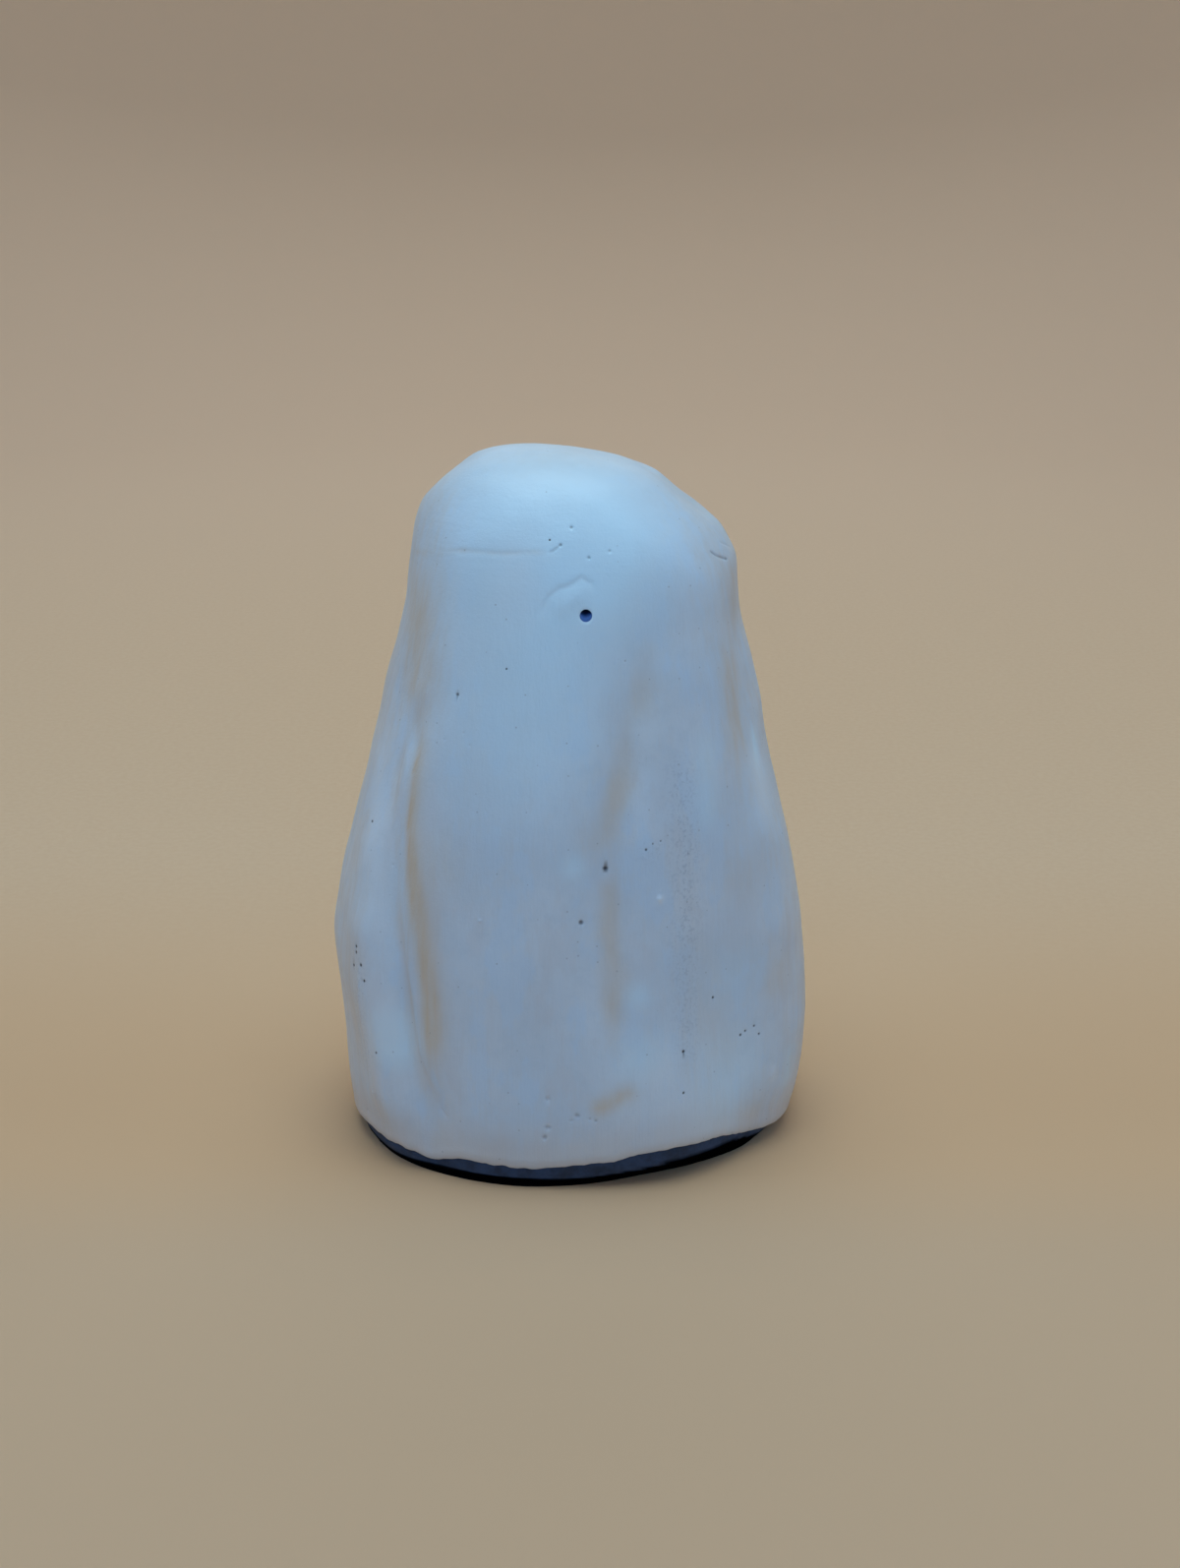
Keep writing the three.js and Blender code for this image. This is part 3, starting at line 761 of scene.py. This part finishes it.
def glaze_relief(points, above_edge):
    """How many millimetres each point stands out of the smooth skin."""
    out = sum(points.waves(length * MM, seed, stretch) * high for length, seed, stretch, high in WAVES)
    for relief in reliefs:
        out += points.along_mark(relief) * relief["out"]
    for radius, _, middle in pinholes:
        out -= points.round_spot(middle, radius) * radius / MM * PINHOLE_DEPTH
    for radius, middle in grains:
        out += points.round_spot(middle, radius) * radius / MM * GRAIN_HEIGHT
    for hole in openings:
        beyond = np.array([hole.reach(Vector(place)) - 1 for place in points.place])
        beyond = beyond * min(hole.radii) / hole.rim_width
        out -= np.clip(1 - beyond, 0, 1) ** 2 * hole.rim_drop / MM
    roll_height, roll_width, roll_out = ROLL
    lip_height, lip_in = LIP
    roll = bell((above_edge - roll_height) / roll_width) * roll_out
    return out + (roll - np.clip(1 - above_edge / lip_height, 0, 1) ** 2 * lip_in)


def hollowness(mesh, points):
    """How far each point lies under a smoothed copy of its mesh."""
    net = bmesh.new()
    net.from_mesh(mesh)
    relax(net, [v for v in net.verts if not v.is_boundary], HOLLOW_ROUNDS)
    smooth = np.array([v.co for v in net.verts])
    net.free()
    return np.einsum("ij,ij->i", smooth - points.place, points.normal)


def mark_glaze(mesh, points, above_edge):
    """The masks that the glaze's material reads."""
    for name, marks in tints.items():
        points.mask(name, sum(points.along_mark(mark) * mark["strength"] for mark in marks))
    bare = sum(points.disc(middle, radius * BARE_SPREAD) * darkness for radius, darkness, middle in pinholes)
    for relief in reliefs:
        if "bare" in relief:
            bare += fade_in(points.along_mark(relief) * 2 - 0.4) * relief["bare"]
    points.mask("bare", bare)
    points.mask("hollow", hollowness(mesh, points) / HOLLOW_DEPTH)
    points.mask("foot", 1 - above_edge / WARM_FOOT_BAND)
    points.mask("side", fade_in((abs(points.normal[:, 0]) - SIDE_FROM) / SIDE_FADE))
    points.mask("crown", fade_in((points.place[:, 2] - CROWN_FROM) / CROWN_FADE))


def glaze_mesh():
    """The skin down to the glaze's edge, with its openings, its relief and its masks."""
    net = bmesh.new()
    net.from_mesh(skin_mesh)
    draw_up_edge(net)
    add_detail_to(net)
    for hole in openings:
        cut_out(net, hole)
    for f in net.faces:
        f.smooth = True
    mesh = bpy.data.meshes.new("glaze")
    net.to_mesh(mesh)
    net.free()
    points = Points(mesh)
    edge = np.array([edge_height(atan2(y, x)) for x, y, _ in points.place])
    above_edge = (points.place[:, 2] - edge) / MM
    points.move_out(glaze_relief(points, above_edge) * MM)
    points.keep_within(cad_low, cad_high)
    mark_glaze(mesh, points, above_edge)
    return mesh


class Signal:
    """A socket of a material's nodes; arithmetic with it adds Math nodes."""

    def __init__(self, finish, socket):
        self.finish = finish
        self.socket = socket

    def maths(self, operation, *values):
        return self.finish.node("Math", {"operation": operation}, dict(enumerate(values)))

    def __add__(self, other):
        return self.maths("ADD", self, other)

    def __sub__(self, other):
        return self.maths("SUBTRACT", self, other)

    def __rsub__(self, other):
        return self.maths("SUBTRACT", other, self)

    def __mul__(self, other):
        return self.maths("MULTIPLY", self, other)

    __radd__ = __add__
    __rmul__ = __mul__


class Finish:
    """A procedural material."""

    def __init__(self, name):
        self.material = bpy.data.materials.new(name)
        self.material.use_nodes = True
        self.tree = self.material.node_tree
        self.tree.nodes.clear()

    def node(self, kind, settings=None, values=None, output=0):
        """Adds a node: its settings first, then the values or links of its sockets."""
        made = self.tree.nodes.new("ShaderNode" + kind)
        for name, value in (settings or {}).items():
            setattr(made, name, value)
        for name, value in (values or {}).items():
            if isinstance(value, Signal):
                self.tree.links.new(value.socket, made.inputs[name])
            else:
                made.inputs[name].default_value = value
        return Signal(self, made.outputs[output])

    def place(self, stretch=(1, 1, 1)):
        """Object coordinates in millimetres, drawn together along each axis by stretch."""
        here = self.node("TexCoord", output="Object")
        size = tuple(s / MM for s in stretch)
        return self.node("VectorMath", {"operation": "MULTIPLY"}, {0: here, 1: size})

    def noise(self, place, scale, detail=3, roughness=0.5):
        values = {"Vector": place, "Scale": scale, "Detail": detail, "Roughness": roughness}
        return self.node("TexNoise", {}, values)

    def between(self, value, low, high):
        """0 up to low, 1 from high, smooth in between."""
        settings = {"interpolation_type": "SMOOTHSTEP"}
        return self.node("MapRange", settings, {"Value": value, "From Min": low, "From Max": high})

    def specks(self, place, scale, rarity, radius):
        """Round spots in the few cells of a net whose number passes rarity."""
        values = {"Vector": place, "Scale": scale}
        distance = self.node("TexVoronoi", {}, values)
        number = self.node("SeparateColor", {}, {"Color": self.node("TexVoronoi", {}, values, "Color")})
        return self.between(number, rarity, rarity + 0.01) * (1 - self.between(distance, radius / 2, radius))

    def mask(self, name):
        """One of the mesh's own masks."""
        return self.node("Attribute", {"attribute_name": name}, output="Fac")

    def mix(self, share, first, second):
        return self.node("Mix", {"data_type": "RGBA"}, {0: share, 6: first, 7: second}, output=2)

    def bump(self, height, depth, below=None):
        """A Bump node for a height that varies by depth metres."""
        values = {"Height": height, "Strength": 1.0, "Distance": depth}
        if below:
            values["Normal"] = below
        return self.node("Bump", {}, values)

    def surface(self, **values):
        """A plain surface; a value's name is its socket's, with _ for a space."""
        named = {name.replace("_", " "): value for name, value in values.items()}
        return self.node("BsdfPrincipled", {}, named)

    def end(self, shader):
        """Ends the material with its shader."""
        end = self.tree.nodes.new("ShaderNodeOutputMaterial")
        self.tree.links.new(shader.socket, end.inputs["Surface"])
        return self.material


def linear(red, green, blue):
    """A colour given in the picture's 0 to 255 values, as the shaders take it."""
    channels = [c / 255 for c in (red, green, blue)]
    return tuple(c / 12.92 if c < 0.04045 else ((c + 0.055) / 1.055) ** 2.4 for c in channels) + (1,)


def white_glaze():
    """A satin glaze: bluish white, brownish over the clay where it is thin, with painted highlights, sheen
    and shade.
    """
    finish = Finish("white glaze")
    place = finish.place()
    cloud = finish.noise(place, 0.06, 3)
    mottle = finish.noise(place, 0.45, 4, 0.6)
    streak = finish.noise(finish.place((1, 1, 0.06)), 0.8, 5, 0.65)
    fine_streak = finish.noise(finish.place((1, 1, 0.04)), 3, 4, 0.6)
    grain = finish.noise(place, 5, 3)
    strokes = finish.noise(finish.place((0.12, 0.12, 1)), 0.9, 4, 0.6)
    blotch = finish.noise(finish.place((1, 1, 0.45)), 0.2, 4, 0.6)
    pebbles = finish.noise(place, 2.2, 3, 0.6)
    specks = finish.specks(place, 0.8, 0.78, 0.12)
    drift = finish.between(streak, 0.25, 0.75)
    thin = finish.mask("thin") * (0.33 + blotch * 0.55 + drift * 0.25 + mottle * 0.2)
    # Painted shade: browner in the folds' hollows. Painted warm light: brownish streaks where the glaze faces
    # sideways.
    thin = thin + finish.mask("hollow") * 0.3 + finish.mask("side") * drift * 0.22
    colour = finish.mix(finish.between(cloud, 0.35, 0.65), linear(196, 211, 227), linear(205, 218, 232))
    colour = finish.mix(finish.between(mottle, 0.45, 0.75) * 0.45, colour, linear(190, 206, 222))
    colour = finish.mix(finish.between(streak, 0.5, 0.75) * 0.3, colour, linear(198, 204, 212))
    colour = finish.mix(finish.between(blotch, 0.5, 0.62) * 0.5, colour, linear(192, 216, 240))
    colour = finish.mix(finish.between(blotch, 0.47, 0.36) * 0.35, colour, linear(200, 206, 216))
    # Painted shade, a little darker, on the crown and in shallow valleys.
    colour = finish.mix(finish.mask("painted_shade") * (0.4 + mottle * 0.8), colour, linear(182, 198, 216))
    pitted = finish.mask("rough") * finish.between(pebbles, 0.5, 0.65)
    colour = finish.mix(pitted * 0.5, colour, linear(160, 178, 198))
    # Warmer towards the foot: partly thicker glaze, partly painted warm light bounced from the floor.
    colour = finish.mix(finish.mask("foot") * 0.7, colour, linear(208, 198, 190))
    # Painted blue sheen: bluer and lighter where the satin glaze would reflect blue light.
    colour = finish.mix(finish.mask("painted_blue_sheen"), colour, linear(206, 236, 255))
    colour = finish.mix(thin, colour, linear(204, 189, 170))
    # Lighter: thick glaze over a grain, and painted highlights on the lobes and ridges.
    colour = finish.mix(finish.mask("thick_glaze_and_painted_highlight") * 0.8, colour, linear(218, 230, 242))
    colour = finish.mix(specks * 0.35, colour, linear(110, 118, 130))
    colour = finish.mix(finish.mask("bare"), colour, linear(34, 42, 58))
    bump = finish.bump(grain, 0.012 * MM)
    bump = finish.bump(pebbles * (0.4 + finish.mask("rough")), 0.08 * MM, bump)
    bump = finish.bump(fine_streak * (1 - finish.mask("crown")), 0.03 * MM, bump)
    bump = finish.bump(streak * (1 - finish.mask("crown")), 0.1 * MM, bump)
    bump = finish.bump(strokes * finish.mask("crown"), 0.04 * MM, bump)
    roughness = 0.36 + mottle * 0.12 + thin * 0.15
    return finish.end(finish.surface(Base_Color=colour, Roughness=roughness, Normal=bump))


def black_clay():
    """Bluish black stoneware, with painted light in and round the vent and a painted black shadow on its
    lowest edge.
    """
    finish = Finish("black clay")
    place = finish.place()
    mottle = finish.noise(place, 0.5, 4, 0.6)
    grit = finish.noise(place, 4, 4, 0.7)
    colour = finish.mix(finish.between(mottle, 0.3, 0.7), linear(38, 50, 70), linear(52, 70, 100))
    # Painted light: the clay in and round the vent is light blue.
    colour = finish.mix(finish.mask("painted_vent_light"), colour, linear(120, 160, 230))
    bump = finish.bump(grit, 0.05 * MM)
    clay = finish.surface(Base_Color=colour, Roughness=0.85, Normal=bump)
    # Painted shadow: the foot's lowest edge is drawn black where shade falls between it and the floor.
    painted_shadow = finish.surface(Base_Color=linear(3, 3, 4), Roughness=1, Specular_IOR_Level=0)
    return finish.end(finish.node("MixShader", {}, {0: finish.mask("under"), 1: clay, 2: painted_shadow}))


glaze_finish = white_glaze()
clay_finish = black_clay()


def show(mesh, name, finish, slot, *nodes):
    """Makes a mesh a piece of the object that stands for those CAD nodes."""
    mesh.materials.append(finish)
    piece = bpy.data.objects.new(name, mesh)
    bpy.context.scene.collection.objects.link(piece)
    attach(piece, "root")
    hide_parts(*nodes)
    return piece


def make_glaze():
    mesh = glaze_mesh()
    piece = show(mesh, "glaze", glaze_finish, "white_glaze", "glaze_coat")
    wall = piece.modifiers.new("wall", "SOLIDIFY")
    wall.thickness = GLAZE
    wall.offset = -1
    rim = piece.modifiers.new("rim", "BEVEL")
    rim.width = RIM_ROUNDING
    rim.segments = 2
    rim.limit_method = "ANGLE"
    rim.angle_limit = RIM_ANGLE
    return surface_of(mesh)


glazed = make_glaze()


def tuck_in(verts):
    """Draws clay back from the glaze wherever it comes too near."""
    for v in verts:
        place, out, _, _ = glazed.find_nearest(v.co)
        depth = (place - v.co).dot(out)
        if depth < CLAY_INSET:
            v.co -= out * (CLAY_INSET - depth)


def make_clay(name, cuts):
    """A finer copy of a packed clay piece under the glaze."""
    net = bmesh.new()
    net.from_mesh(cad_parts[name].data)
    bmesh.ops.remove_doubles(net, verts=net.verts, dist=1e-6)
    bmesh.ops.subdivide_edges(net, edges=net.edges[:], cuts=cuts, use_grid_fill=True)
    for hole in face:
        pressed = [v for v in net.verts if hole.reach(v.co) < DIMPLE_REACH]
        relax(net, pressed, DIMPLE_ROUNDS)
    tuck_in(net.verts)
    for f in net.faces:
        f.smooth = True
    mesh = bpy.data.meshes.new(name + "_clay")
    net.to_mesh(mesh)
    net.free()
    mesh.set_sharp_from_angle(angle=CLAY_EDGE)
    points = Points(mesh)
    # Painted light in and round the vent hole.
    points.mask("painted_vent_light", points.round_spot(vent.middle, VENT_LIGHT_REACH))
    show(mesh, name + "_clay", clay_finish, "black_clay", name)


def foot_edge():
    """The foot's edge on the ground, by angle: how far out it lies, and how high its painted black shadow
    reaches.
    """
    marks = []
    for across, down, dark in FOOT_EDGE_SEEN:
        place = on_ground((across, down))
        marks.append((degrees(azimuth(place)), place.xy.length, dark * MM))
    first, last = marks[0][0], marks[-1][0]
    for angle in range(-180, 180, HIDDEN_STEP):
        if not first - HIDDEN_STEP < angle < last + HIDDEN_STEP:
            marks.append((angle, skin_at(radians(angle), 0).xy.length - HIDDEN_LEAN, HIDDEN_SHADOW))
    marks.sort()
    angles, radii, darks = zip(*marks)

    def at(angle):
        turns = degrees(angle) + FOOT_EASING
        return [float(np.interp(turns, angles, values, period=360).mean()) for values in (radii, darks)]

    return at


def make_foot():
    """The clay base: a ring placed under the skin, pulled down in rows, with its top and its sole closed."""
    edge = foot_edge()
    net = bmesh.new()
    bmesh.ops.create_circle(net, segments=FOOT_COLUMNS, radius=1)

    def place(v, height):
        angle = azimuth(v.co)
        edge_radius, _ = edge(angle)
        wall = skin_at(angle, max(height, FOOT_TURN)).xy.length - CLAY_INSET
        share = 1 - (1 - min(1, height / FOOT_TURN)) ** FOOT_CURVE
        rough = noise.noise((heading(angle) * wall + Vector((0, 0, height * 3))) / MM * 0.6) * FOOT_ROUGHNESS
        v.co = heading(angle) * (edge_radius + (wall - edge_radius) * share + rough) + Vector((0, 0, height))

    for v in net.verts:
        turn = azimuth(v.co)
        v.co = heading(turn - BACKWARD * cos(turn))
        place(v, BASE_TOP)
    top = net.edges[:]
    sole = pull_down(net, top, [height * MM for height in FOOT_HEIGHTS], place)
    for ring in (top, sole):
        made = bmesh.ops.extrude_edge_only(net, edges=ring)["geom"]
        inner = {g for g in made if isinstance(g, bmesh.types.BMVert)}
        for v in inner:
            v.co.xy *= FOOT_RIM
        bmesh.ops.contextual_create(net, geom=[e for e in net.edges if inner.issuperset(e.verts)])
    bmesh.ops.recalc_face_normals(net, faces=net.faces)
    tuck_in([v for v in net.verts if v.co.z > edge_height(azimuth(v.co)) - CLAY_SHOWS])
    for f in net.faces:
        f.smooth = len(f.verts) <= 4
    mesh = bpy.data.meshes.new("foot_clay")
    net.to_mesh(mesh)
    net.free()
    points = Points(mesh)
    # The under mask paints the shadow under the foot's edge black, up to the height that foot_edge gives.
    below = [(edge(atan2(y, x))[1] - z) / MM for x, y, z in points.place]
    points.mask("under", 0.5 + np.array(below) / SHADOW_FADE)
    show(mesh, "foot_clay", clay_finish, "black_clay", "base_slab")


make_foot()
for name, cuts in (("wall_slab", 2), ("crown_cap", 1), ("left_arm_roll", 2), ("right_arm_roll", 2)):
    make_clay(name, cuts)
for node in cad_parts.values():
    node.data.materials.clear()
    node.data.materials.append(clay_finish)


# The plain studio: a bowl of pale tan paper, a large soft light overhead and four weaker ones around.
FLOOR_RADIUS = 0.55
BOWL_RADIUS = 0.45
PAPER_HEIGHT = 1.2
LIGHT_AIM = Vector((0, 0, 0.05))
# Each light's name, place, size, power and colour.
LIGHTS = [
    ("overhead", (0, 0, 0.9), 0.7, 4.85, (0.74, 0.94, 1)),
    ("front", (0, -0.8, 0.3), 0.4, 1.8, (0.14, 0.5, 1)),
    ("left side", (-0.7, 0, 0.5), 0.5, 1.3, (0.32, 0.62, 1)),
    ("right side", (0.7, 0, 0.5), 0.5, 1.3, (0.32, 0.62, 1)),
    ("behind", (0, 0.6, 0.45), 0.5, 0.55, (0.75, 0.9, 1)),
]


def make_floor():
    """A round floor that turns up into a wall, spun from half its profile."""
    net = bmesh.new()
    profile = [(0, 0), (FLOOR_RADIUS, 0)]
    turns = 12
    for i in range(1, turns + 1):
        turn = i / turns * pi / 2
        profile.append((FLOOR_RADIUS + BOWL_RADIUS * sin(turn), BOWL_RADIUS * (1 - cos(turn))))
    profile.append((FLOOR_RADIUS + BOWL_RADIUS, PAPER_HEIGHT))
    verts = [net.verts.new((x, 0, z)) for x, z in profile]
    edges = [net.edges.new(pair) for pair in zip(verts, verts[1:])]
    turned = {"cent": (0, 0, 0), "axis": (0, 0, 1), "angle": 2 * pi, "steps": 64, "use_merge": True}
    bmesh.ops.spin(net, geom=verts + edges, **turned)
    bmesh.ops.remove_doubles(net, verts=net.verts, dist=1e-5)
    bmesh.ops.recalc_face_normals(net, faces=net.faces)
    for f in net.faces:
        f.smooth = True
    mesh = bpy.data.meshes.new("floor")
    net.to_mesh(mesh)
    net.free()
    finish = Finish("paper")
    fibres = finish.noise(finish.place(), 0.8, 4, 0.6)
    away = finish.node("SeparateXYZ", {}, {0: finish.place()}, "Y")
    colour = finish.mix(finish.between(fibres, 0.3, 0.7), linear(211, 176, 143), linear(214, 181, 148))
    colour = finish.mix(finish.between(away, 150, 600), colour, linear(222, 190, 162))
    colour = finish.mix(finish.between(away, 110, 20), colour, linear(211, 171, 133))
    # Painted shadow: the paper in front of the figurine is a little darker.
    colour = finish.mix(finish.between(away, -15, -45), colour, linear(204, 169, 136))
    mesh.materials.append(finish.end(finish.surface(Base_Color=colour, Roughness=0.9)))
    piece = bpy.data.objects.new("floor", mesh)
    bpy.context.scene.collection.objects.link(piece)


def make_light(name, place, size, power, colour):
    lamp = bpy.data.lights.new(name, "AREA")
    lamp.size = size
    lamp.energy = power
    lamp.color = colour
    holder = bpy.data.objects.new(name, lamp)
    holder.location = place
    holder.rotation_euler = (Vector(place) - LIGHT_AIM).to_track_quat("Z", "Y").to_euler()
    bpy.context.scene.collection.objects.link(holder)


def make_room():
    world = bpy.data.worlds.new("room")
    world.use_nodes = True
    background = world.node_tree.nodes["Background"]
    background.inputs["Color"].default_value = linear(235, 220, 200)
    background.inputs["Strength"].default_value = 0.1
    bpy.context.scene.world = world
    bpy.context.scene.view_settings.view_transform = "Standard"


make_floor()
for light in LIGHTS:
    make_light(*light)
make_room()
